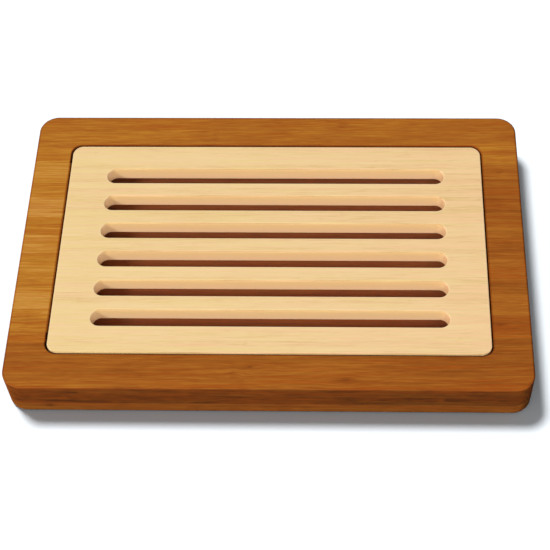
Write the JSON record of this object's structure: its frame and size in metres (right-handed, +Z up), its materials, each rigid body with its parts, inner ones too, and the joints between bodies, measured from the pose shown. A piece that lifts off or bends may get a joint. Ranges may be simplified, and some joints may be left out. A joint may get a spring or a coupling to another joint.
{
  "type": "bread board with crumb tray",
  "caption": "Two-tone bamboo bread board: a pale slotted cutting board that lifts out of a dark framed tray, which catches the crumbs.",
  "frame": {"origin": "on the table, under the middle of the board", "axes": "+X along the board's length to the right, +Y from its front edge to its back edge, +Z up"},
  "size_m": [0.38, 0.249, 0.0342],
  "materials": {
    "dark_bamboo": "caramelised bamboo, oiled satin",
    "base_bamboo": "caramelised bamboo, oiled satin",
    "pale_bamboo": "natural bamboo, sanded satin",
    "foot_rubber": "matt",
    "screw_steel": "zinc plated"
  },
  "bodies": {
    "tray": {"front_rail": "dark_bamboo", "back_rail": "dark_bamboo", "left_rail": "dark_bamboo", "right_rail": "dark_bamboo", "base_board": "base_bamboo", "foot_front_left": "foot_rubber", "foot_front_right": "foot_rubber", "foot_back_left": "foot_rubber", "foot_back_right": "foot_rubber", "foot_screw_front_left": "screw_steel", "foot_screw_front_right": "screw_steel", "foot_screw_back_left": "screw_steel", "foot_screw_back_right": "screw_steel"},
    "slotted_board": {"slotted_board": "pale_bamboo"}
  },
  "joints": [
    {"name": "lift_out", "type": "slide", "parent": "tray", "child": "slotted_board", "axis": [0, 0, 1], "range_m": [0, 0.06]}
  ]
}
